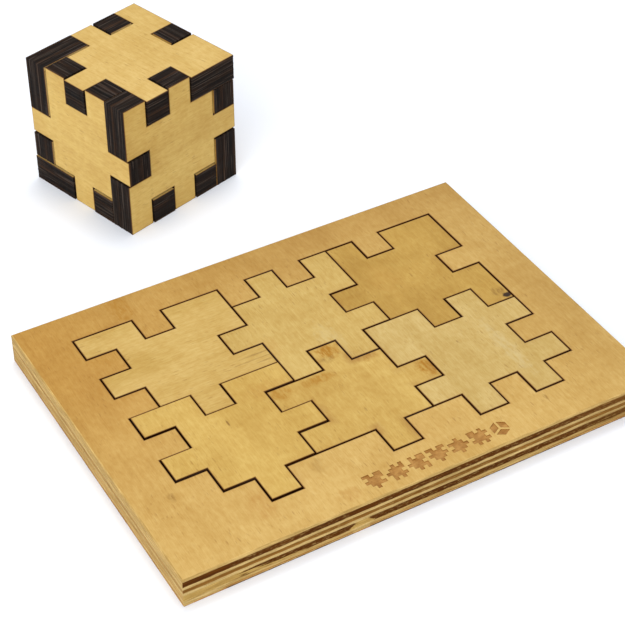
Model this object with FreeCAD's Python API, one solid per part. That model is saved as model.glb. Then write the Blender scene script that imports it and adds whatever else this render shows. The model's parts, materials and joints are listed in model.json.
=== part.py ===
"""Plywood cube puzzle: six interlocking pieces, packed flat in their tray and built into a cube.

Every piece is a square of plywood with fingers round its rim.  The same six outlines tile the cut-out
of the tray and close into a hollow cube.  Millimetres, +Z up, origin at the middle of the tray's
underside, X along the tray's long side.  The built cube stands on the same surface behind the tray.
"""
import FreeCAD, Part
import math
import os

# Sheet, fingers and fit
ply_thickness = 9.4        # plywood of the pieces and of the tray frame, sawn from one sheet
backing_thickness = 1.1    # thin sheet glued under the tray frame
finger_width = 10.0        # width of one finger along an edge
finger_proud = 0.35        # how far a finger's end stands out of the cube's face
fit_gap = 0.5              # gap between two neighbouring sawn outlines
piece_ease = 0.15          # bevel on the pieces' edges

# Tray borders round the cut-out
side_border = 15.25
back_border = 12.5
front_border = 13.75
tray_ease = 0.4            # bevel on the tray's outside edges
cut_out_ease = 0.15        # bevel on the cut-out's top edge

# Engraved ornament on the front border: the six outlines in small, then a little cube
ornament_size = 6.2
ornament_pitch = 7.1
ornament_depth = 0.3
ornament_start = (45.9, 3.0)     # left end from the cut-out's left edge, lower side from the front edge
ornament_line = 0.7              # line width of the little cube

# The built cube on the table
cube_corner = (-20.3, 96.8)      # its front corner
cube_turn = 16.5                 # degrees anticlockwise, seen from above

# Outlines seen from the face side: 1 is wood on the rim, X is the solid middle.
outlines = {
    "back_left": ("11011", "0XXX1", "1XXX0", "0XXX1", "00100"),
    "back_middle": ("00101", "0XXX1", "1XXX0", "0XXX1", "01010"),
    "back_right": ("01011", "0XXX1", "1XXX0", "0XXX1", "00101"),
    "front_left": ("11011", "0XXX0", "1XXX1", "0XXX0", "00100"),
    "front_middle": ("00100", "1XXX0", "0XXX1", "1XXX0", "00100"),
    "front_right": ("11010", "1XXX1", "0XXX0", "1XXX1", "01010"),
}
tray_slots = {
    "back_left": (0, 0), "back_middle": (1, 0), "back_right": (2, 0),
    "front_left": (0, 1), "front_middle": (1, 1), "front_right": (2, 1),
}
# How each piece lies in the slack of its slot: right and back in shares of the fit gap, and its turn
# in degrees anticlockwise.
tray_slack = {
    "back_left": (0.04, 0.16, 0.04), "back_middle": (0.04, 0.16, -0.03), "back_right": (-0.12, -0.16, 0.04),
    "front_left": (0.20, 0.80, 0.0), "front_middle": (0.10, 0.04, -0.04), "front_right": (0.20, 0.08, 0.05),
}
# Where each outline goes in the cube: the directions of its columns and rows, and its outward side.
# Cube axes: x along the front right face, y along the front left face, z up.
cube_places = {
    "cube_top": ("back_left", (0, -1, 0), (-1, 0, 0), (0, 0, 1)),
    "cube_bottom": ("back_middle", (-1, 0, 0), (0, -1, 0), (0, 0, -1)),
    "cube_front_right": ("front_left", (0, 0, 1), (1, 0, 0), (0, -1, 0)),
    "cube_front_left": ("front_middle", (0, 0, -1), (0, 1, 0), (-1, 0, 0)),
    "cube_back_left": ("front_right", (0, 0, -1), (1, 0, 0), (0, 1, 0)),
    "cube_back_right": ("back_right", (0, 0, -1), (0, 1, 0), (1, 0, 0)),
}

# Sizes that follow
half_gap = fit_gap / 2
finger_depth = ply_thickness + finger_proud + half_gap
core = 3 * finger_width
side = core + 2 * finger_depth
slot_pitch = core + finger_depth
columns = 1 + max(slot[0] for slot in tray_slots.values())
rows = 1 + max(slot[1] for slot in tray_slots.values())
cut_out = (columns * slot_pitch + finger_depth, rows * slot_pitch + finger_depth)
tray_size = (cut_out[0] + 2 * side_border, cut_out[1] + front_border + back_border)
tray_top = backing_thickness + ply_thickness
bottom_drop = max(0, finger_proud)               # loose in its joints, the bottom piece drops to the table
cube_foot = half_gap + min(0, finger_proud)      # lowest point of the cube above its grid's base
same_height = 1e-6


def grid_lines(slots):
    """Grid lines across a row of slots: a finger's depth, three finger widths, a depth, and so on."""
    lines = [0.0]
    for slot in range(slots):
        lines.append(slot * slot_pitch + finger_depth)
        for finger in (1, 2, 3):
            lines.append(slot * slot_pitch + finger_depth + finger * finger_width)
    lines.append(slots * slot_pitch + finger_depth)
    return lines


def cells_of(pattern, slot=(0, 0)):
    """Cells with wood in them, as (column, row), for a pattern in a slot of the shared grid."""
    return {
        (4 * slot[0] + column, 4 * slot[1] + row)
        for row, marks in enumerate(pattern)
        for column, mark in enumerate(marks)
        if mark != "0"
    }


def outline_of(cells, across, down, inset):
    """Corners of the cells' outline, anticlockwise, with x right and y back, moved in by the inset."""
    step_after = {}
    for column, row in cells:
        for start, end, neighbour in (
            ((column, row + 1), (column + 1, row + 1), (column, row + 1)),
            ((column + 1, row + 1), (column + 1, row), (column + 1, row)),
            ((column + 1, row), (column, row), (column, row - 1)),
            ((column, row), (column, row + 1), (column - 1, row)),
        ):
            if neighbour not in cells:
                step_after[start] = end
    here = min(step_after)
    loop = []
    while here in step_after:
        loop.append(here)
        here = step_after.pop(here)
    corners = []
    for before, at, after in zip(loop[-1:] + loop[:-1], loop, loop[1:] + loop[:1]):
        step_in = (at[0] - before[0], before[1] - at[1])
        step_out = (after[0] - at[0], at[1] - after[1])
        if step_in != step_out:
            x = across[at[0]] - inset * (step_in[1] + step_out[1])
            y = -down[at[1]] + inset * (step_in[0] + step_out[0])
            corners.append((x, y))
    return corners


def face_of(corners, z):
    points = [FreeCAD.Vector(x, y, z) for x, y in corners]
    return Part.Face(Part.makePolygon(points + points[:1]))


def prism(corners, low, high):
    return face_of(corners, low).extrude(FreeCAD.Vector(0, 0, high - low))


def edges_at(solid, level):
    """The solid's edges that lie flat at a height."""
    return [
        edge for edge in solid.Edges
        if all(abs(vertex.Z - level) < same_height for vertex in edge.Vertexes)
    ]


def blank(pattern):
    """One puzzle piece, face up, its middle at the origin."""
    lines = grid_lines(1)
    corners = outline_of(cells_of(pattern), lines, lines, half_gap)
    centred = [(x - side / 2, y + side / 2) for x, y in corners]
    half = ply_thickness / 2
    solid = prism(centred, -half, half)
    return solid.makeChamfer(piece_ease, edges_at(solid, -half) + edges_at(solid, half))


def on_tray(corners):
    """Cut-out coordinates, from its back left corner, moved to the part's frame."""
    left = side_border - tray_size[0] / 2
    back = tray_size[1] / 2 - back_border
    return [(x + left, y + back) for x, y in corners]


def rectangle(width, depth):
    right = width / 2
    back = depth / 2
    return [(-right, -back), (right, -back), (right, back), (-right, back)]


def little_cube(centre, size):
    """Outlines of a cube drawn corner on: three rhombi with a gap of one line between them."""
    radius = size / 2
    rhombi = []
    for turn in (30, 150, 270):
        middle = math.radians(turn)
        shift = ornament_line / math.sqrt(3)
        corners = []
        for angle, reach in ((0, 0), (-60, 1), (0, 1), (60, 1)):
            direction = math.radians(turn + angle)
            x = centre[0] + shift * math.cos(middle) + (radius - shift) * reach * math.cos(direction)
            y = centre[1] + shift * math.sin(middle) + (radius - shift) * reach * math.sin(direction)
            corners.append((x, y))
        rhombi.append(corners)
    return rhombi


def ornament_outlines():
    """The six outlines in small, in reading order, then the little cube."""
    left = side_border - tray_size[0] / 2 + ornament_start[0]
    low = ornament_start[1] - tray_size[1] / 2
    small = ornament_size / 5
    lines = [small * line for line in range(6)]
    shapes = []
    for place, pattern in enumerate(outlines.values()):
        corners = outline_of(cells_of(pattern), lines, lines, 0)
        shapes.append([(left + place * ornament_pitch + x, low + ornament_size + y) for x, y in corners])
    centre = (left + len(outlines) * ornament_pitch + ornament_size / 2, low + ornament_size / 2)
    return shapes + little_cube(centre, ornament_size)


def tray_frame():
    """The tray's upper sheet, with the cut-out sawn through and the ornament engraved."""
    solid = prism(rectangle(*tray_size), backing_thickness, tray_top)
    solid = solid.makeChamfer(tray_ease, edges_at(solid, tray_top))
    cells = set().union(*(cells_of(outlines[name], slot) for name, slot in tray_slots.items()))
    corners = on_tray(outline_of(cells, grid_lines(columns), grid_lines(rows), -half_gap))
    solid = solid.cut(prism(corners, 0, 2 * tray_top))
    inner_edges = [
        edge for edge in edges_at(solid, tray_top)
        if abs(edge.CenterOfMass.x) < (tray_size[0] - side_border) / 2
        and abs(edge.CenterOfMass.y) < (tray_size[1] - back_border) / 2
    ]
    solid = solid.makeChamfer(cut_out_ease, inner_edges)
    engraving = [prism(shape, tray_top - ornament_depth, 2 * tray_top) for shape in ornament_outlines()]
    return solid.cut(Part.makeCompound(engraving)).Solids[0]


def backing():
    """The thin sheet under the frame: it closes the cut-out and is the face that rests on a table."""
    return prism(rectangle(*tray_size), 0, backing_thickness)


def tray_piece(name):
    """A piece lying in its slot on the backing, with its share of the slack."""
    column, row = tray_slots[name]
    right, back, turn = tray_slack[name]
    x = column * slot_pitch + side / 2 + right * fit_gap
    y = -row * slot_pitch - side / 2 + back * fit_gap
    centre = on_tray([(x, y)])[0]
    solid = blank(outlines[name])
    solid.rotate(FreeCAD.Vector(0, 0, 0), FreeCAD.Vector(0, 0, 1), turn)
    solid.translate(FreeCAD.Vector(*centre, backing_thickness + ply_thickness / 2))
    return solid


def cube_piece(name):
    """A piece in its place in the cube, its inner side one finger's depth below the fingers' ends."""
    outline, *directions = cube_places[name]
    across, down, outward = (FreeCAD.Vector(*direction) for direction in directions)
    up = across.cross(-down)
    turned = FreeCAD.Matrix(
        across.x, -down.x, up.x, 0,
        across.y, -down.y, up.y, 0,
        across.z, -down.z, up.z, 0,
        0, 0, 0, 1,
    )
    solid = blank(outlines[outline]).transformed(turned)
    solid.translate(outward * (side / 2 - finger_depth + ply_thickness / 2))
    solid.translate(FreeCAD.Vector(side / 2, side / 2, side / 2))
    solid.translate(FreeCAD.Vector(0, 0, -cube_foot))
    if name == "cube_bottom":
        solid.translate(FreeCAD.Vector(0, 0, -bottom_drop))
    solid.rotate(FreeCAD.Vector(0, 0, 0), FreeCAD.Vector(0, 0, 1), cube_turn)
    solid.translate(FreeCAD.Vector(*cube_corner, 0))
    return solid


os.makedirs("parts", exist_ok=True)
tray_frame().exportStep("parts/tray_frame.step")
backing().exportStep("parts/tray_backing.step")
for piece_name in outlines:
    tray_piece(piece_name).exportStep("parts/tray_piece_" + piece_name + ".step")
for place_name in cube_places:
    cube_piece(place_name).exportStep("parts/" + place_name + ".step")
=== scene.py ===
import json
import math

import bpy
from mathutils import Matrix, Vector, noise
from mathutils.geometry import delaunay_2d_cdt


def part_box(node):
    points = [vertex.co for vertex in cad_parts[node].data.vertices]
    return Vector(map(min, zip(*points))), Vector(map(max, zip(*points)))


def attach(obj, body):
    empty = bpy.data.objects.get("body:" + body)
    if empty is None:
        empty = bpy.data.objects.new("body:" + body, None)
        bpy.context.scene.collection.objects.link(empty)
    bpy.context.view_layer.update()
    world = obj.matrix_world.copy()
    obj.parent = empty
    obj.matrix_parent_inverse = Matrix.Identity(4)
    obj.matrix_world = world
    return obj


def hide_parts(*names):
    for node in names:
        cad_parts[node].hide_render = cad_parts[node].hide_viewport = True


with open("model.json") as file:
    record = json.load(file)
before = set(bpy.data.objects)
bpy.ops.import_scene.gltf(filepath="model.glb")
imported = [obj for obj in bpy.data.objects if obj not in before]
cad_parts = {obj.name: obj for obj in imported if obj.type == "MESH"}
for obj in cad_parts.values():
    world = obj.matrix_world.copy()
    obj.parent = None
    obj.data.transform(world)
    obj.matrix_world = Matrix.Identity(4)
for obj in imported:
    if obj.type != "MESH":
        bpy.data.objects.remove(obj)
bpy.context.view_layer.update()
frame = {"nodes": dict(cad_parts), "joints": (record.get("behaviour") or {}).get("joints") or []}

# Each of the puzzle's plywood sheets gets a mesh of its own, made round the outline of its CAD node: a
# face and a back of veneer, and walls of plies between them. A sheet's materials work from attributes:
# "wood" is a point's x and y on the face and its depth below it, in metres, "scorch" and "smoke" are how
# burnt it is, and "faces_x" marks the walls that face along the sheet's x axis.

MM = 0.001

# ---------------------------------------------------------------- sizes

FACE_EASE = 0.15 * MM          # bevel on the CAD pieces' and the cut-out's edges
ARRIS = 0.12 * MM              # the visible bevel there
TRAY_EASE = 0.4 * MM           # bevel on the tray's outside top edge
BACKING_EASE = 0.2 * MM        # bevel under the backing
ROUNDING = 0.3                 # where an eased edge's middle lies, as a share of its width
ARRIS_WANDER = 0.06 * MM       # how far a bevel's width wanders
WANDER_SCALE = 900             # cells of that wander's noise to a metre
WALL_STEP = 2.0 * MM           # spacing of the points along a laser-cut wall
SAWN_STEP = 4.0 * MM           # the same along the tray's outside

GLUE_GROOVE = 0.07 * MM        # depth of the burnt-back glue lines
GROOVE_HALF_WIDTH = 0.06 * MM
CROSS_PLY_RECESS = 0.04 * MM   # cross plies burn back a little more than long ones
SCORCH_WIDTH = 0.25 * MM       # browned rim of a face beside a laser cut
SMOKE_WIDTH = 2.6 * MM         # how far smoke may stain a face
LIP_SCORCH = 0.70              # how burnt an eased edge is where the face ends, with 1 at the wall
EASE_SCORCH = 0.95             # and at the edge's middle
RIM_SMOKE = 0.85               # the smoke where the browned rim ends, with 1 at the wall

ORNAMENT_DEPTH = 0.3 * MM
ORNAMENT_TAPER = 0.04 * MM     # how far each of its walls leans in, down to its floor
ORNAMENT_STEP = 0.7 * MM       # spacing of the points along them

# Ply thicknesses as shares of a sheet, from the face side down.
BOARD_PLIES = (0.10, 0.215, 0.105, 0.14, 0.105, 0.225, 0.11)
BACKING_PLIES = (0.36, 0.28, 0.36)

# Places along the tray's long sides, where the look of the plies changes.
BREAK_START, BREAK_END = -72 * MM, -60 * MM   # a dark ply breaks off between these, to the left
PATCH_MIDDLE = -24 * MM                       # and a light patch interrupts it here
PATCH_CORE, PATCH_REACH = 1.5 * MM, 5 * MM
FADE_START, FADE_END = 36 * MM, 76 * MM       # the plies' contrast fades over this stretch

LEVEL_SLACK = 1e-6             # metres within which vertices are level
LEAST_TURN = 1e-3              # sine of the smallest turn that is a corner
MERGE_DISTANCE = 1e-6          # millimetres within which triangulated points are one
EDGE_DEPTH = ARRIS * 1.01      # depth of an eased edge, with room for rounding

LIGHT_LEVEL = 1.48             # how much brighter than display white a white top face is

UP = Vector((0, 0, 1))
EAST = Vector((1, 0, 0))
FACE, WALL, SAWN, ENGRAVED = 0, 1, 2, 3       # material slots of a sheet
TRIANGLES_INSIDE = 1           # delaunay_2d_cdt's kind of output: triangles within the loops
COLOUR_A, COLOUR_B, COLOUR_OUT = 6, 7, 2      # a Mix node's colour sockets


def seen(red, green, blue):
    """The surface colour that looks like a display colour, 0 to 255, under this scene's light."""
    linear = [((value / 255 + 0.055) / 1.055) ** 2.4 for value in (red, green, blue)]
    return (*[value / LIGHT_LEVEL for value in linear], 1.0)


# ---------------------------------------------------------------- reading outlines from the frame

def face_loops(node, normal):
    """Outlines of the node's outermost flat face that looks along normal, as loops of points."""
    mesh = frame["nodes"][node].data
    heights = [normal.dot(vertex.co) for vertex in mesh.vertices]
    level = max(heights) - LEVEL_SLACK
    follows = {}
    for polygon in mesh.polygons:
        corners = list(polygon.vertices)
        if all(heights[corner] > level for corner in corners):
            for start, end in zip(corners, corners[1:] + corners[:1]):
                follows.setdefault(start, set()).add(end)
    for start, ends in follows.items():
        for end in list(ends):
            if start in follows.get(end, ()):
                ends.discard(end)
                follows[end].discard(start)
    loops = []
    rim = {start: next(iter(ends)) for start, ends in follows.items() if ends}
    while rim:
        here = min(rim)
        loop = []
        while here in rim:
            loop.append(mesh.vertices[here].co.copy())
            here = rim.pop(here)
        loops.append(loop)
    return loops


class Place:
    """A sheet's own coordinates: x and y on its face, depth down from the face."""

    def __init__(self, origin, x_axis, normal):
        self.origin = origin
        self.normal = normal
        self.x_axis = x_axis
        self.y_axis = normal.cross(x_axis)

    def local(self, point):
        offset = point - self.origin
        return Vector((offset.dot(self.x_axis), offset.dot(self.y_axis)))

    def world(self, point, depth):
        return self.origin + self.x_axis * point[0] + self.y_axis * point[1] - self.normal * depth


def signed_area(loop):
    """The loop's area, negative for a clockwise loop."""
    pairs = zip(loop, loop[1:] + loop[:1])
    return sum(a[0] * b[1] - b[0] * a[1] for a, b in pairs) / 2


def corners_only(loop):
    """The loop without points that lie in line with their neighbours."""
    kept = []
    for before, at, after in zip(loop[-1:] + loop[:-1], loop, loop[1:] + loop[:1]):
        first = (at - before).normalized()
        second = (after - at).normalized()
        if abs(first[0] * second[1] - first[1] * second[0]) > LEAST_TURN:
            kept.append(at)
    return kept


def sheet_of(node, normal, x_axis):
    """The place of a node's face, and its outlines there: the outer one first, anticlockwise."""
    loops = face_loops(node, normal)
    points = [point for loop in loops for point in loop]
    flat = Place(normal * normal.dot(points[0]), x_axis, normal)
    spots = [flat.local(point) for point in points]
    middle = [(min(s[i] for s in spots) + max(s[i] for s in spots)) / 2 for i in (0, 1)]
    place = Place(flat.world(middle, 0), x_axis, normal)
    outlines = [corners_only([place.local(point) for point in loop]) for loop in loops]
    outlines.sort(key=lambda loop: -abs(signed_area(loop)))
    return place, outlines


def thickness_along(node, normal):
    """The node's size along a direction."""
    heights = [normal.dot(vertex.co) for vertex in frame["nodes"][node].data.vertices]
    return max(heights) - min(heights)


# ---------------------------------------------------------------- outline work

def moved(loop, distance):
    """The loop moved to its left by a distance: inward for an anticlockwise loop."""
    result = []
    for before, at, after in zip(loop[-1:] + loop[:-1], loop, loop[1:] + loop[:1]):
        first = (at - before).normalized()
        second = (after - at).normalized()
        left = Vector((-first[1] - second[1], first[0] + second[0]))
        result.append(at + left * distance / (1 + first.dot(second)))
    return result


class Outline:
    """An outline's corners, and how many parts each of its sides is divided into."""

    def __init__(self, corners, step):
        self.corners = corners
        sides = zip(corners, corners[1:] + corners[:1])
        self.parts = [max(1, round((after - at).length / step)) for at, after in sides]

    def inset(self, distance):
        """The divided outline, moved into the wood by a distance."""
        corners = moved(self.corners, distance)
        points = []
        for at, after, parts in zip(corners, corners[1:] + corners[:1], self.parts):
            points += [at.lerp(after, part / parts) for part in range(parts)]
        return points


def eased_edge(ease):
    """Rings of an eased edge from its face inward, as (depth, recess, scorch)."""
    middle = ease * ROUNDING
    return [(0.0, ease, LIP_SCORCH), (middle, middle, EASE_SCORCH), (ease, 0.0, 1.0)]


def ply_rings(plies, thickness):
    """Rings down a wall: plies, the cross ones burnt back further, and a groove at each glue line."""
    rings = []
    depth = 0.0
    for number, share in enumerate(plies[:-1]):
        depth += share * thickness
        above = CROSS_PLY_RECESS * (number % 2)
        below = CROSS_PLY_RECESS * ((number + 1) % 2)
        rings += [
            (depth - GROOVE_HALF_WIDTH, above, 1.0),
            (depth, GLUE_GROOVE, 1.0),
            (depth + GROOVE_HALF_WIDTH, below, 1.0),
        ]
    return rings


def profile(plies, thickness, top_ease, bottom_ease):
    """All the rings of a wall, from its upper face to its lower one."""
    upper = eased_edge(top_ease) if top_ease else [(0.0, 0.0, 1.0)]
    lower = eased_edge(bottom_ease) if bottom_ease else [(0.0, 0.0, 1.0)]
    turned = [(thickness - depth, recess, scorch) for depth, recess, scorch in reversed(lower)]
    return upper + ply_rings(plies, thickness) + turned


# ---------------------------------------------------------------- mesh building

def is_inside(point, loops):
    """Whether a point lies inside the first loop and in none of the others, which are holes in it."""
    crossings = 0
    for loop in loops:
        for a, b in zip(loop, loop[1:] + loop[:1]):
            if (a[1] > point[1]) != (b[1] > point[1]):
                crossings += point[0] < a[0] + (b[0] - a[0]) * (point[1] - a[1]) / (b[1] - a[1])
    return crossings % 2 == 1


class SheetMesh:
    """Collects the points and faces of one sheet, with what its materials need to know about them."""

    def __init__(self, place):
        self.place = place
        self.points = []
        self.wood = []
        self.scorch = []
        self.smoke = []
        self.faces = []
        self.slots = []
        self.faces_x = []

    def ring(self, loop, depth, scorch=0.0, smoke=0.0):
        """Adds a closed ring of points at a depth, and gives their numbers."""
        start = len(self.points)
        for point in loop:
            self.points.append(self.place.world(point, depth))
            self.wood.append((point[0], point[1], depth))
            self.scorch.append(scorch)
            self.smoke.append(smoke)
        return list(range(start, len(self.points)))

    def face(self, corners, slot, faces_x=0.0):
        self.faces.append(corners)
        self.slots.append(slot)
        self.faces_x.append(faces_x)

    def band(self, upper, lower, slot):
        """Quads between two rings, each marked with whether it faces along the sheet's x axis."""
        for i, corner in enumerate(upper):
            j = (i + 1) % len(upper)
            here = self.wood[corner]
            there = self.wood[upper[j]]
            faces_x = 1.0 if abs(there[1] - here[1]) > abs(there[0] - here[0]) else 0.0
            self.face([upper[j], corner, lower[i], lower[j]], slot, faces_x)

    def cap(self, rings, slot, up=True):
        """Fills between an outer ring and its holes with well-shaped triangles."""
        loops = [[Vector(self.wood[corner][:2]) / MM for corner in ring] for ring in rings]
        corners = [corner for ring in rings for corner in ring]
        sides = []
        for ring in rings:
            start = len(sides)
            sides += [(start + i, start + (i + 1) % len(ring)) for i in range(len(ring))]
        spots = [spot for loop in loops for spot in loop]
        filled = delaunay_2d_cdt(spots, sides, [], TRIANGLES_INSIDE, MERGE_DISTANCE)
        points, triangles, sources = filled[0], filled[2], filled[3]
        for triangle in triangles:
            if is_inside(sum((points[i] for i in triangle), Vector((0, 0))) / 3, loops):
                found = [corners[sources[i][0]] for i in triangle]
                self.face(found if up else found[::-1], slot)

    def made(self, name, materials):
        """The sheet as an object, with its materials and the attributes that they work from."""
        mesh = bpy.data.meshes.new(name)
        mesh.from_pydata([tuple(point) for point in self.points], [], self.faces)
        for material in materials:
            mesh.materials.append(material)
        mesh.polygons.foreach_set("material_index", self.slots)
        wood = mesh.attributes.new("wood", "FLOAT_VECTOR", "POINT")
        wood.data.foreach_set("vector", [value for spot in self.wood for value in spot])
        for attribute, domain, values in (
            ("scorch", "POINT", self.scorch),
            ("smoke", "POINT", self.smoke),
            ("faces_x", "FACE", self.faces_x),
        ):
            layer = mesh.attributes.new(attribute, "FLOAT", domain)
            layer.data.foreach_set("value", values)
        mesh.validate()
        mesh.update()
        piece = bpy.data.objects.new(name, mesh)
        bpy.context.scene.collection.objects.link(piece)
        return piece


def wandered(loop, seed):
    """An arris never has quite the same width: each point moves into the wood by an amount of its own."""
    wide = moved(loop, ARRIS_WANDER)
    spots = [Vector((point[0] * WANDER_SCALE, point[1] * WANDER_SCALE, seed)) for point in loop]
    shares = [abs(noise.noise(spot)) for spot in spots]
    return [at.lerp(far, share) for at, far, share in zip(loop, wide, shares)]


def wall(sheet, outline, rings, slot, edge_slot, seed, charred=True):
    """A wall all the way round an outline, its eased edges in a slot of their own. Gives its first and
    last ring."""
    thickness = rings[-1][0]
    previous = first = None
    for number, (depth, recess, scorch) in enumerate(rings):
        loop = outline.inset(recess)
        if number in (0, len(rings) - 1):
            loop = wandered(loop, seed)
        burnt = scorch if charred else 0.0
        ring = sheet.ring(loop, depth, burnt, burnt)
        if previous is None:
            first = ring
        else:
            on_edge = min(depth, thickness - rings[number - 1][0]) <= EDGE_DEPTH
            sheet.band(previous, ring, edge_slot if on_edge else slot)
        previous = ring
    return first, previous


def rim(sheet, outline, edge_ring, depth=0.0):
    """Two rings inside a face's edge, where the browned rim and the smoke stains end. A face at a depth
    is the sheet's lower one, and looks the other way."""
    last = edge_ring
    for inset, smoke in ((SCORCH_WIDTH, RIM_SMOKE), (SMOKE_WIDTH, 0.0)):
        ring = sheet.ring(outline.inset(ARRIS + inset), depth, 0.0, smoke)
        if depth == 0.0:
            sheet.band(ring, last, FACE)
        else:
            sheet.band(last, ring, FACE)
        last = ring
    return last


def puzzle_piece(node, normal, x_axis, materials, seed):
    """A notched plywood piece with charred walls, in the place of its CAD node. It rides on the body that
    has the node's name."""
    place, outlines = sheet_of(node, normal, x_axis)
    thickness = thickness_along(node, normal)
    outline = Outline(moved(outlines[0], -FACE_EASE), WALL_STEP)
    sheet = SheetMesh(place)
    rings = profile(BOARD_PLIES, thickness, ARRIS, ARRIS)
    top, bottom = wall(sheet, outline, rings, WALL, FACE, seed)
    sheet.cap([rim(sheet, outline, top)], FACE)
    sheet.cap([rim(sheet, outline, bottom, thickness)], FACE, up=False)
    stand_in(sheet, node, node, materials)


def tray_frame_sheet(materials):
    """The tray's upper sheet: sawn outside, laser-cut opening, and the engraved ornament."""
    node = "tray_frame"
    place, outlines = sheet_of(node, UP, EAST)
    thickness = thickness_along(node, UP)
    outer, cut_out = outlines[:2]
    sheet = SheetMesh(place)
    outside = Outline(moved(outer, -TRAY_EASE), SAWN_STEP)
    rings = profile(BOARD_PLIES, thickness, TRAY_EASE, 0)
    outer_top, outer_bottom = wall(sheet, outside, rings, SAWN, SAWN, seed=3.0, charred=False)
    opening = Outline(moved(cut_out, -FACE_EASE), WALL_STEP)
    rings = profile(BOARD_PLIES, thickness, ARRIS, 0)
    inner_top, inner_bottom = wall(sheet, opening, rings, WALL, FACE, seed=4.0)
    engraved = []
    for corners in outlines[2:]:
        shape = Outline(corners, ORNAMENT_STEP)
        upper = sheet.ring(shape.inset(0), 0.0)
        lower = sheet.ring(shape.inset(-ORNAMENT_TAPER), ORNAMENT_DEPTH)
        sheet.band(upper, lower, ENGRAVED)
        sheet.cap([lower], ENGRAVED)
        engraved.append(upper)
    sheet.cap([outer_top, rim(sheet, opening, inner_top)] + engraved, FACE)
    sheet.cap([outer_bottom, inner_bottom], FACE, up=False)
    stand_in(sheet, node, "tray", materials)


def tray_backing_sheet(materials):
    """The thin sheet glued under the frame."""
    node = "tray_backing"
    place, outlines = sheet_of(node, UP, EAST)
    thickness = thickness_along(node, UP)
    sheet = SheetMesh(place)
    rings = profile(BACKING_PLIES, thickness, 0, BACKING_EASE)
    outline = Outline(outlines[0], SAWN_STEP)
    top, bottom = wall(sheet, outline, rings, WALL, WALL, seed=5.0, charred=False)
    sheet.cap([top], FACE)
    sheet.cap([bottom], FACE, up=False)
    stand_in(sheet, node, "tray", materials)


def stand_in(sheet, node, body, materials):
    """Makes the sheet's object and puts it in the place of its CAD node."""
    piece = sheet.made(node + "_wood", materials)
    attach(piece, body)
    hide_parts(node)


# ---------------------------------------------------------------- material nodes

class Recipe:
    """A material's node tree, built by short calls that give back output sockets."""

    def __init__(self, name):
        self.material = bpy.data.materials.new(name)
        self.material.use_nodes = True
        self.nodes = self.material.node_tree.nodes
        self.links = self.material.node_tree.links
        self.shader = self.nodes["Principled BSDF"]

    def put(self, socket, value):
        if isinstance(value, bpy.types.NodeSocket):
            self.links.new(value, socket)
        else:
            socket.default_value = value

    def attribute(self, name, output="Fac"):
        node = self.nodes.new("ShaderNodeAttribute")
        node.attribute_name = name
        return node.outputs[output]

    def math(self, operation, first, second=0.0):
        node = self.nodes.new("ShaderNodeMath")
        node.operation = operation
        self.put(node.inputs[0], first)
        self.put(node.inputs[1], second)
        return node.outputs[0]

    def split(self, vector):
        node = self.nodes.new("ShaderNodeSeparateXYZ")
        self.put(node.inputs[0], vector)
        return node.outputs

    def stretched(self, vector, scale, shift=(0, 0, 0)):
        """The vector scaled for a noise: the scale is in cells to a metre along each axis."""
        node = self.nodes.new("ShaderNodeMapping")
        self.put(node.inputs["Vector"], vector)
        node.inputs["Scale"].default_value = scale
        node.inputs["Location"].default_value = shift
        return node.outputs[0]

    def noise(self, vector, detail=2.0, roughness=0.5, distortion=0.0):
        node = self.nodes.new("ShaderNodeTexNoise")
        self.put(node.inputs["Vector"], vector)
        node.inputs["Scale"].default_value = 1.0
        node.inputs["Detail"].default_value = detail
        node.inputs["Roughness"].default_value = roughness
        node.inputs["Distortion"].default_value = distortion
        return node.outputs["Fac"]

    def between(self, value, low, high, out_low=0.0, out_high=1.0):
        """A smooth step: out_low where the value is at low or under, out_high at high or over."""
        node = self.nodes.new("ShaderNodeMapRange")
        node.interpolation_type = "SMOOTHSTEP"
        self.put(node.inputs["Value"], value)
        node.inputs["From Min"].default_value = low
        node.inputs["From Max"].default_value = high
        node.inputs["To Min"].default_value = out_low
        node.inputs["To Max"].default_value = out_high
        return node.outputs["Result"]

    def ramp(self, factor, stops):
        """The colour between the stops that a factor gives."""
        node = self.nodes.new("ShaderNodeValToRGB")
        elements = node.color_ramp.elements
        elements[0].position, elements[0].color = stops[0]
        elements[1].position, elements[1].color = stops[-1]
        for position, colour in stops[1:-1]:
            elements.new(position).color = colour
        self.put(node.inputs["Fac"], factor)
        return node.outputs["Color"]

    def mix(self, factor, first, second, blend="MIX"):
        node = self.nodes.new("ShaderNodeMix")
        node.data_type = "RGBA"
        node.blend_type = blend
        node.clamp_factor = True
        self.put(node.inputs["Factor"], factor)
        self.put(node.inputs[COLOUR_A], first)
        self.put(node.inputs[COLOUR_B], second)
        return node.outputs[COLOUR_OUT]

    def warmed(self, colour, texture, shadow, shine, warmth=1.0):
        """Darker where the texture is low, by the shadow, and the browner the greater the warmth. The
        shine then scales the whole colour."""
        low = (shadow, shadow ** (1 + 0.6 * warmth), shadow ** (1 + 2 * warmth), 1)
        tint = self.ramp(self.between(texture, 0.28, 0.72), ((0.0, low), (1.0, (1, 1, 1, 1))))
        colour = self.mix(1.0, colour, tint, "MULTIPLY")
        return self.mix(1.0, colour, (shine, shine, shine, 1), "MULTIPLY")

    def bump(self, height, distance, strength):
        node = self.nodes.new("ShaderNodeBump")
        node.inputs["Distance"].default_value = distance
        node.inputs["Strength"].default_value = strength
        self.put(node.inputs["Height"], height)
        return node.outputs[0]

    def finish(self, colour, roughness, normal, specular):
        self.put(self.shader.inputs["Base Color"], colour)
        self.put(self.shader.inputs["Roughness"], roughness)
        self.put(self.shader.inputs["Normal"], normal)
        self.shader.inputs["Specular IOR Level"].default_value = specular
        return self.material


# ---------------------------------------------------------------- materials

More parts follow.
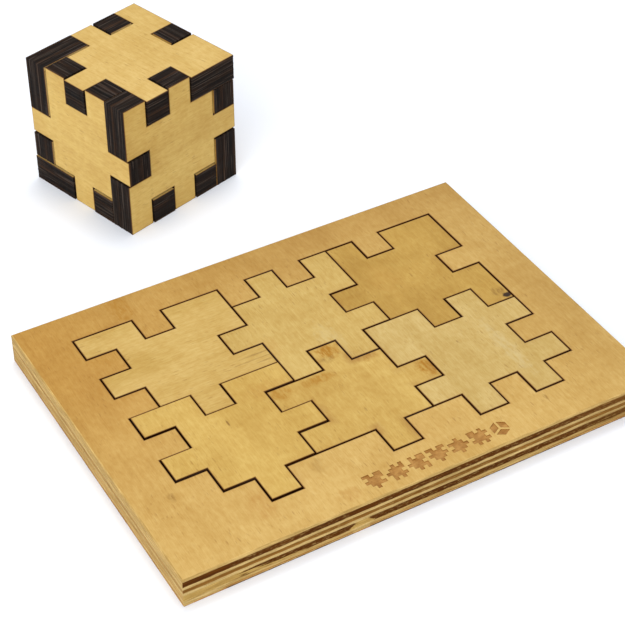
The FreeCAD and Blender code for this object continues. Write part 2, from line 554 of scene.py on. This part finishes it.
SOLID_MARK = 0.9               # a stain at least this strong hides the figure under it
STREAK_SHARE = 0.30            # how much of a face's tone is growth streaks, with clouds for the rest
PLY_BLUR = 0.012               # half the width of the change from ply to ply, as a share of the sheet
EDGE_WARMTH = 0.25             # sawn edges turn less brown in their shadows than faces do

# Specular levels
BIRCH_GLOSS = 0.18
CHAR_GLOSS = 0.12
TRAY_CHAR_GLOSS = 0.02
SAWN_GLOSS = 0.03

PORE = seen(138, 88, 30)
SMOKE = seen(150, 88, 28)
SCORCH = seen(104, 50, 2)
ASH = seen(98, 84, 74)
RUST = seen(74, 46, 30)
ENGRAVED_DARK, ENGRAVED_LIGHT = seen(170, 116, 50), seen(204, 152, 82)

# Char on the dark, brown and grey plies.
CHAR = seen(29, 18, 11), seen(49, 32, 19), seen(39, 31, 25)
TRAY_CHAR = seen(52, 24, 3), seen(72, 36, 7), seen(58, 30, 10)       # browner, as the tray's gaps are


def mark(recipe, wood, centre, radius, seed, ragged=0.6, core=0.35):
    """A soft patch, as a mask: a stain, or a wide tint, which on the cube's pieces is painted light. centre
    and radius are in millimetres on the face. ragged is how far its edge wanders, and core is how far out it
    keeps its full strength, both as shares of the radius."""
    x, y, _ = recipe.split(wood)
    wobble = recipe.noise(recipe.stretched(wood, (450, 450, 450), (seed, seed, 0)), detail=3.0)
    across = recipe.math("DIVIDE", recipe.math("SUBTRACT", x, centre[0] * MM), radius[0] * MM)
    down = recipe.math("DIVIDE", recipe.math("SUBTRACT", y, centre[1] * MM), radius[1] * MM)
    square = recipe.math("ADD", recipe.math("MULTIPLY", across, across), recipe.math("MULTIPLY", down, down))
    distance = recipe.math("SQRT", square)
    wander = recipe.math("MULTIPLY", recipe.math("SUBTRACT", wobble, 0.5), ragged * 2)
    return recipe.between(recipe.math("ADD", distance, wander), core, 1.0, 1.0, 0.0)


def birch_face(name, light, dark, seed, smoke, grain_along_x=False, marks=(), shades=()):
    """A sanded birch veneer: clouds, growth streaks, ripples, mottle, fibres, pore flecks, stains, scorch.
    shades are tints that spread wide over the face, which on the cube's pieces are painted light, and marks
    are stains."""
    recipe = Recipe(name)
    wood = recipe.attribute("wood", "Vector")

    def grained(along, across, shift=0.0):
        scale = (along, across, 300) if grain_along_x else (across, along, 300)
        return recipe.stretched(wood, scale, (seed * 7.3 + shift, seed * 3.1 - shift, seed))

    cloud = recipe.noise(grained(24, 44), detail=3.0, roughness=0.6, distortion=0.6)
    streak = recipe.noise(grained(14, 230, 5), detail=4.0, roughness=0.6, distortion=0.6)
    ripple = recipe.noise(grained(170, 45, 9), distortion=1.0)
    mottle = recipe.noise(grained(360, 860, 11), detail=4.0, roughness=0.65, distortion=0.3)
    fibre = recipe.noise(grained(110, 3200, 13), roughness=0.7)
    fleck = recipe.noise(grained(300, 1700, 17), detail=1.0, roughness=0.4)
    where = recipe.noise(grained(45, 70, 21))

    streaks = recipe.math("MULTIPLY", streak, STREAK_SHARE)
    tone = recipe.math("ADD", recipe.math("MULTIPLY", cloud, 1 - STREAK_SHARE), streaks)
    colour = recipe.ramp(recipe.between(tone, 0.34, 0.66), ((0.0, dark), (1.0, light)))
    # Wide tints; on the cube's pieces this is painted light, making the whole face lighter and paler.
    for centre, radius, tint in shades:
        mask = mark(recipe, wood, centre, radius, seed, ragged=0.08, core=0.0)
        colour = recipe.mix(mask, colour, recipe.mix(1.0, colour, tint, "MULTIPLY"))
    for texture, shadow, shine in ((ripple, 0.955, 1.03), (mottle, 0.90, 1.05), (fibre, 0.91, 1.06)):
        colour = recipe.warmed(colour, texture, shadow, shine)
    pores = recipe.math("MULTIPLY", recipe.between(fleck, 0.63, 0.75), recipe.between(where, 0.36, 0.60))
    colour = recipe.mix(recipe.math("MULTIPLY", pores, 0.34), colour, PORE)

    grain = recipe.noise(grained(260, 900, 25), detail=4.0, roughness=0.65)
    soaked = recipe.between(grain, 0.36, 0.60, 0.30, 1.15)
    for number, (centre, radius, stain, strength) in enumerate(marks):
        mask = mark(recipe, wood, centre, radius, seed + number * 1.7)
        if strength < SOLID_MARK:
            mask = recipe.math("MULTIPLY", mask, soaked)
        colour = recipe.mix(recipe.math("MULTIPLY", mask, strength), colour, stain)

    near = recipe.attribute("smoke")
    patch = recipe.between(recipe.noise(grained(60, 60, 31), detail=3.0), 0.5, 0.72)
    haze = recipe.math("MULTIPLY", recipe.math("MULTIPLY", near, patch), smoke)
    colour = recipe.mix(haze, colour, SMOKE)
    burnt = recipe.math("POWER", recipe.attribute("scorch"), 1.4)
    colour = recipe.mix(recipe.math("MULTIPLY", burnt, 0.94), colour, SCORCH)

    rough = recipe.between(recipe.math("ADD", cloud, fibre), 0.7, 1.3, 0.46, 0.62)
    relief = recipe.math("SUBTRACT", recipe.math("MULTIPLY", fibre, 0.5), pores)
    return recipe.finish(colour, rough, recipe.bump(relief, 0.03 * MM, 0.6), BIRCH_GLOSS)


def ply_stops(plies, colours):
    """Colour stops down a wall: one colour for each ply, with narrow changes between them."""
    stops = [(0.0, colours[0])]
    depth = 0.0
    for share, above, below in zip(plies, colours, colours[1:]):
        depth += share
        stops += [(depth - PLY_BLUR, above), (depth + PLY_BLUR, below)]
    return stops + [(1.0, colours[-1])]


def ply_share(recipe, wood, thickness, wander_by, seed, ragged_by=0.0):
    """How far down the sheet's thickness a point is, 0 to 1, with plies that waver along the wall and
    are ragged at their edges."""
    depth = recipe.split(wood)["Z"]
    for amount, scale in ((wander_by, (70, 70, 70)), (ragged_by, (240, 240, 700))):
        if amount:
            waver = recipe.noise(recipe.stretched(wood, scale, (seed, 0, 0)), detail=3.0)
            shift = recipe.math("MULTIPLY", recipe.math("SUBTRACT", waver, 0.5), amount)
            depth = recipe.math("ADD", depth, shift)
    return recipe.math("DIVIDE", depth, thickness)


def charred_wall(name, thickness, seed, plies=CHAR, gloss=CHAR_GLOSS):
    """A laser-cut wall: near-black char, with the plies and fine lines along them a little lighter.
    plies holds the dark, brown and grey plies' colours."""
    recipe = Recipe(name)
    wood = recipe.attribute("wood", "Vector")
    share = ply_share(recipe, wood, thickness, 0.5 * MM, seed)
    dark, brown, grey = plies
    colour = recipe.ramp(share, ply_stops(BOARD_PLIES, (brown, dark, grey, dark, brown, dark, grey)))
    streaks = recipe.noise(recipe.stretched(wood, (1600, 1600, 90), (seed, 0, 0)), detail=3.0, roughness=0.7)
    patches = recipe.noise(recipe.stretched(wood, (110, 110, 260), (seed, 5, 0)), detail=3.0)
    lines = recipe.noise(recipe.stretched(wood, (30, 30, 1500), (0, seed, 0)))
    ash = recipe.noise(recipe.stretched(wood, (50, 50, 2300), (seed, seed, 3)))
    colour = recipe.mix(1.0, colour, recipe.between(streaks, 0.25, 0.75, 0.65, 1.25), "MULTIPLY")
    colour = recipe.mix(1.0, colour, recipe.between(lines, 0.32, 0.68, 0.40, 1.65), "MULTIPLY")
    colour = recipe.mix(recipe.between(ash, 0.57, 0.66, 0.0, 0.55), colour, ASH)
    colour = recipe.mix(recipe.between(patches, 0.54, 0.76, 0.0, 0.20), colour, RUST)
    rough = recipe.between(streaks, 0.3, 0.7, 0.70, 0.90)
    relief = recipe.math("ADD", streaks, recipe.math("MULTIPLY", lines, 0.8))
    return recipe.finish(colour, rough, recipe.bump(relief, 0.05 * MM, 0.7), gloss)


def sawn_wall(name, thickness, plies, front, flecks, faded, sides, broken, seed):
    """A sawn and sanded edge with its plies showing, in one set of colours on the long sides and another
    on the short ones. On the long sides the broken colours take over at the left end, in one patch and
    in torn places here and there, small flecks spread over all the plies, and towards the right end
    the plies fade to one colour."""
    recipe = Recipe(name)
    wood = recipe.attribute("wood", "Vector")
    share = ply_share(recipe, wood, thickness, 0.40 * MM, seed, 0.55 * MM)
    run = recipe.noise(recipe.stretched(wood, (22, 22, 500), (seed, 0, 0)))
    fray = recipe.noise(recipe.stretched(wood, (160, 160, 2600), (seed, 4, 0)), detail=3.0, roughness=0.7)
    fibre = recipe.noise(recipe.stretched(wood, (90, 90, 4200), (0, seed, 0)), detail=3.0, roughness=0.65)
    fleck = recipe.noise(recipe.stretched(wood, (520, 520, 2400), (seed, 9, 0)), detail=3.0, roughness=0.7)
    pores = recipe.noise(recipe.stretched(wood, (2600, 2600, 900), (0, 0, seed)))
    cloud = recipe.noise(recipe.stretched(wood, (60, 60, 300), (3, seed, 0)), detail=3.0)

    x = recipe.split(wood)["X"]
    whole = recipe.ramp(share, ply_stops(plies, front))
    whole = recipe.mix(recipe.between(fleck, 0.50, 0.72, 0.0, 0.50), whole, flecks)
    whole = recipe.mix(recipe.between(x, FADE_START, FADE_END, 0.0, 0.42), whole, faded)

    end = recipe.between(x, BREAK_START, BREAK_END, 0.30, 0.0)
    aside = recipe.math("ABSOLUTE", recipe.math("SUBTRACT", x, PATCH_MIDDLE))
    patch = recipe.between(aside, PATCH_CORE, PATCH_REACH, 0.30, 0.0)
    lifted = recipe.math("ADD", recipe.math("ADD", run, end), patch)
    torn = recipe.math("ADD", lifted, recipe.math("MULTIPLY", fray, 0.35))
    gaps = recipe.ramp(share, ply_stops(plies, broken))
    colour = recipe.mix(recipe.between(torn, 0.80, 0.84), whole, gaps)
    colour = recipe.mix(recipe.attribute("faces_x"), colour, recipe.ramp(share, ply_stops(plies, sides)))

    textures = (fray, 0.68, 1.16), (fibre, 0.64, 1.20), (pores, 0.90, 1.04), (cloud, 0.86, 1.06)
    for texture, shadow, shine in textures:
        colour = recipe.warmed(colour, texture, shadow, shine, EDGE_WARMTH)
    rough = recipe.between(pores, 0.3, 0.7, 0.55, 0.75)
    relief = recipe.math("ADD", fibre, pores)
    return recipe.finish(colour, rough, recipe.bump(relief, 0.06 * MM, 0.6), SAWN_GLOSS)


def engraved_floor(name):
    """Engraved wood: burnt to an even brown, with the engraver's scan lines across it."""
    recipe = Recipe(name)
    wood = recipe.attribute("wood", "Vector")
    cloud = recipe.noise(recipe.stretched(wood, (400, 400, 400)), detail=3.0)
    scan = recipe.noise(recipe.stretched(wood, (500, 6500, 100)))
    tone = recipe.between(cloud, 0.3, 0.7)
    colour = recipe.ramp(tone, ((0.0, ENGRAVED_DARK), (1.0, ENGRAVED_LIGHT)))
    colour = recipe.mix(1.0, colour, recipe.between(scan, 0.3, 0.7, 0.85, 1.1), "MULTIPLY")
    rough = recipe.between(cloud, 0.3, 0.7, 0.6, 0.75)
    return recipe.finish(colour, rough, recipe.bump(scan, 0.04 * MM, 0.7), BIRCH_GLOSS)


# ---------------------------------------------------------------- the object

board_thickness = thickness_along("tray_frame", UP)
backing_thickness = thickness_along("tray_backing", UP)

SMOKE_STAIN = seen(182, 122, 14)
AMBER_STAIN = seen(194, 136, 56)
DARK_MARK = seen(134, 90, 20)
BURN = seen(112, 64, 6)
KNOT = seen(44, 28, 24)

# Each outline's look: lighter and darker tone, whether its grain runs along x, smoke along its rim, and
# its marks as centre and radius in millimetres, colour and strength.
LOOKS = {
    "back_left": (
        seen(221, 190, 119), seen(207, 173, 97), True, 0.10,
        (((21, -8.4), (9, 0.5), BURN, 0.34), ((18, -10.4), (10, 0.4), BURN, 0.30),
         ((23, -12.2), (6, 0.5), BURN, 0.28), ((-14, 9), (1.0, 0.6), DARK_MARK, 0.40)),
    ),
    "back_middle": (
        seen(221, 192, 120), seen(208, 176, 102), False, 0.12,
        (((4, -14), (5, 11), seen(230, 206, 142), 0.40), ((-13, -8), (3, 6), AMBER_STAIN, 0.22)),
    ),
    "back_right": (
        seen(209, 173, 93), seen(191, 153, 74), False, 0.22,
        (((23.7, -23.0), (2.1, 1.6), KNOT, 0.97), ((22.0, -20.6), (3.4, 3.0), BURN, 0.40),
         ((-6, 3), (8, 10), AMBER_STAIN, 0.16), ((20, 2), (0.8, 2.0), DARK_MARK, 0.40)),
    ),
    "front_left": (
        seen(223, 190, 110), seen(208, 172, 91), False, 0.10,
        (((-1.0, 8.7), (0.45, 2.0), BURN, 0.55), ((16, 16), (9, 5), AMBER_STAIN, 0.25)),
    ),
    "front_middle": (
        seen(223, 191, 113), seen(207, 171, 92), False, 0.60,
        (((0.4, 21.8), (5.0, 4.4), SMOKE_STAIN, 0.78), ((-1.6, 18.6), (3.0, 2.0), BURN, 0.30),
         ((-8.5, 12.2), (7, 2.6), SMOKE_STAIN, 0.60), ((-21.5, 12.4), (6, 4.2), SMOKE_STAIN, 0.55),
         ((23.0, 1.0), (4.0, 5.4), SMOKE_STAIN, 0.80), ((25.4, -1.0), (1.5, 3.0), BURN, 0.60),
         ((10, 13.5), (5.5, 2.2), SMOKE_STAIN, 0.40), ((12, -21.5), (5, 3), SMOKE_STAIN, 0.34),
         ((-3, -6), (0.5, 1.4), BURN, 0.35)),
    ),
    "front_right": (
        seen(222, 196, 132), seen(207, 178, 109), False, 0.10,
        (((-2.9, 5.7), (0.4, 0.8), BURN, 0.60), ((9, -4), (3.2, 18), seen(232, 212, 158), 0.34)),
    ),
}

# The way each piece comes out. The cube's own x and y axes are those of its two back pieces.
pull_axis = {joint["child"]: Vector(joint["axis"]).normalized() for joint in frame["joints"]}
cube_x = pull_axis["cube_back_right"]
cube_y = pull_axis["cube_back_left"]

# Each node with its outline's look, the direction of its x axis and of its outer face.
PIECES = [("tray_piece_" + outline, outline, EAST, UP) for outline in LOOKS]
PIECES += [
    ("cube_top", "back_left", -cube_y, UP),
    ("cube_bottom", "back_middle", -cube_x, -UP),
    ("cube_front_right", "front_left", UP, -cube_y),
    ("cube_front_left", "front_middle", -UP, -cube_x),
    ("cube_back_left", "front_right", -UP, cube_y),
    ("cube_back_right", "back_right", -UP, cube_x),
]

# The cube's pieces share the tray pieces' looks, painted a little lighter and paler all over: painted light
# that stands for a brighter light on the cube. They have no stains and little smoke.
CUBE_PAINTED_LIGHT = (((0, 0), (400, 400), (1.13, 1.15, 1.22, 1)),)
CUBE_SMOKE = 0.06


def make_pieces():
    for seed, (node, outline, x_axis, outward) in enumerate(PIECES, start=2):
        light, dark, grain_along_x, smoke, marks = LOOKS[outline]
        if node.startswith("cube"):
            # Little smoke, no stains, and painted light: a lighter, paler tone all over for the brighter
            # light on the cube.
            smoke, marks, shades = CUBE_SMOKE, (), CUBE_PAINTED_LIGHT
            char = charred_wall("char_" + node, board_thickness, seed)
        else:
            shades = ()
            char = charred_wall("char_" + node, board_thickness, seed, TRAY_CHAR, TRAY_CHAR_GLOSS)
        face = birch_face("birch_" + node, light, dark, seed, smoke, grain_along_x, marks, shades)
        puzzle_piece(node, outward, x_axis, (face, char), seed)


def make_tray():
    """The frame, then the backing. shades and patches hold a centre and a radius in millimetres."""
    # Wide tints that make the face darker and more orange towards its left, back and right edges.
    shades = (
        ((-92, 48), (110, 110), (0.80, 0.66, 0.42, 1)),
        ((30, 80), (150, 66), (0.72, 0.61, 0.44, 1)),
        ((104, 0), (62, 110), (0.78, 0.73, 0.65, 1)),
    )
    patches = (
        ((-46, 53), (4.5, 9), SMOKE_STAIN, 0.42), ((-68.7, -29.2), (1.5, 2.3), DARK_MARK, 0.44),
        ((-47.8, -44.0), (6, 8), AMBER_STAIN, 0.34), ((-27, -38.7), (3.0, 4.4), DARK_MARK, 0.18),
        ((-25, -53.0), (5, 3.4), AMBER_STAIN, 0.34), ((46, -47.6), (0.7, 2.0), DARK_MARK, 0.50),
        ((-62, 20), (16, 26), AMBER_STAIN, 0.20), ((-58, 34), (9, 7), SMOKE_STAIN, 0.18),
    )
    face = birch_face(
        "birch_tray", seen(224, 190, 119), seen(211, 174, 101),
        seed=31.0, smoke=0.20, marks=patches, shades=shades,
    )
    char = charred_wall("char_tray", board_thickness, 33.0, TRAY_CHAR, TRAY_CHAR_GLOSS)
    light, pale, dark, tan = seen(212, 180, 116), seen(220, 192, 132), seen(98, 54, 6), seen(148, 104, 46)
    sawn = sawn_wall(
        "sawn_tray", board_thickness, BOARD_PLIES,
        front=(light, dark, pale, tan, pale, dark, light),
        flecks=light, faded=tan,
        sides=(light, seen(214, 182, 120), pale, seen(196, 158, 98), pale, seen(208, 172, 110), pale),
        broken=(light, dark, pale, tan, pale, seen(204, 170, 100), pale),
        seed=35.0,
    )
    tray_frame_sheet((face, char, sawn, engraved_floor("engraved_tray")))

    under = birch_face("birch_backing", seen(206, 166, 98), seen(184, 142, 76), seed=41.0, smoke=0.0)
    brown, ochre = seen(112, 70, 28), seen(192, 138, 74)
    edge = sawn_wall(
        "sawn_backing", backing_thickness, BACKING_PLIES,
        front=(ochre, pale, brown, ochre),     # the fourth shows where the lowest ply wavers upward
        flecks=ochre, faded=ochre,
        sides=(ochre, light, ochre),
        broken=(light, pale, ochre),
        seed=43.0,
    )
    tray_backing_sheet((under, edge))


# ---------------------------------------------------------------- the stage

TABLE_SIZE = 6.0
TABLE_DROP = 0.02 * MM         # how far it lies below the object, so that no two faces coincide
TABLE_WHITE = (0.82, 0.845, 0.90, 1)
SKY_WHITE = (0.93, 0.96, 1.0, 1)
SKY_STRENGTH = 0.76
LIGHTS_AIM = (0.0, 0.04, 0.0)

CAMERA_AZIMUTH, CAMERA_ELEVATION = math.radians(-30.14), math.radians(39.99)
CAMERA_DISTANCE = 0.5703
CAMERA_AIM = (0.0057, 0.0207)  # the spot on the tray's upper face that it looks at
LENS_MM, SENSOR_MM = 104.9, 36.0
NEAREST_SEEN = 10 * MM


def make_floor():
    half = TABLE_SIZE / 2
    corners = [(-half, -half), (half, -half), (half, half), (-half, half)]
    mesh = bpy.data.meshes.new("table")
    mesh.from_pydata([(x, y, -TABLE_DROP) for x, y in corners], [], [(0, 1, 2, 3)])
    floor = bpy.data.objects.new("table", mesh)
    bpy.context.scene.collection.objects.link(floor)
    material = bpy.data.materials.new("table_white")
    material.use_nodes = True
    shader = material.node_tree.nodes["Principled BSDF"]
    shader.inputs["Base Color"].default_value = TABLE_WHITE
    shader.inputs["Roughness"].default_value = 0.7
    shader.inputs["Specular IOR Level"].default_value = 0.2
    mesh.materials.append(material)


def area_light(name, place, size, watts, colour):
    light = bpy.data.lights.new(name, "AREA")
    light.shape = "SQUARE"
    light.size = size
    light.energy = watts
    light.color = colour
    lamp = bpy.data.objects.new(name, light)
    lamp.location = place
    lamp.rotation_euler = (Vector(LIGHTS_AIM) - Vector(place)).to_track_quat("-Z", "Y").to_euler()
    bpy.context.scene.collection.objects.link(lamp)


def make_light():
    world = bpy.data.worlds.new("studio")
    world.use_nodes = True
    background = world.node_tree.nodes["Background"]
    background.inputs["Color"].default_value = SKY_WHITE
    background.inputs["Strength"].default_value = SKY_STRENGTH
    bpy.context.scene.world = world
    area_light("key", (-0.76, -0.66, 0.80), size=1.2, watts=14.4, colour=(1.0, 0.98, 0.94))
    area_light("overhead", (0.16, 0.30, 1.25), size=0.42, watts=5.6, colour=(1.0, 0.99, 0.97))


def make_camera():
    aim = Vector((*CAMERA_AIM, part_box("tray_frame")[1].z))
    back = Vector((
        math.sin(CAMERA_AZIMUTH) * math.cos(CAMERA_ELEVATION),
        -math.cos(CAMERA_AZIMUTH) * math.cos(CAMERA_ELEVATION),
        math.sin(CAMERA_ELEVATION),
    ))
    data = bpy.data.cameras.new("camera")
    data.lens = LENS_MM
    data.sensor_width = SENSOR_MM
    data.clip_start = NEAREST_SEEN
    camera = bpy.data.objects.new("camera", data)
    camera.location = aim + back * CAMERA_DISTANCE
    camera.rotation_euler = (-back).to_track_quat("-Z", "Y").to_euler()
    bpy.context.scene.collection.objects.link(camera)
    bpy.context.scene.camera = camera


make_camera()
make_tray()
make_pieces()
make_floor()
make_light()
bpy.context.scene.view_settings.view_transform = "Standard"
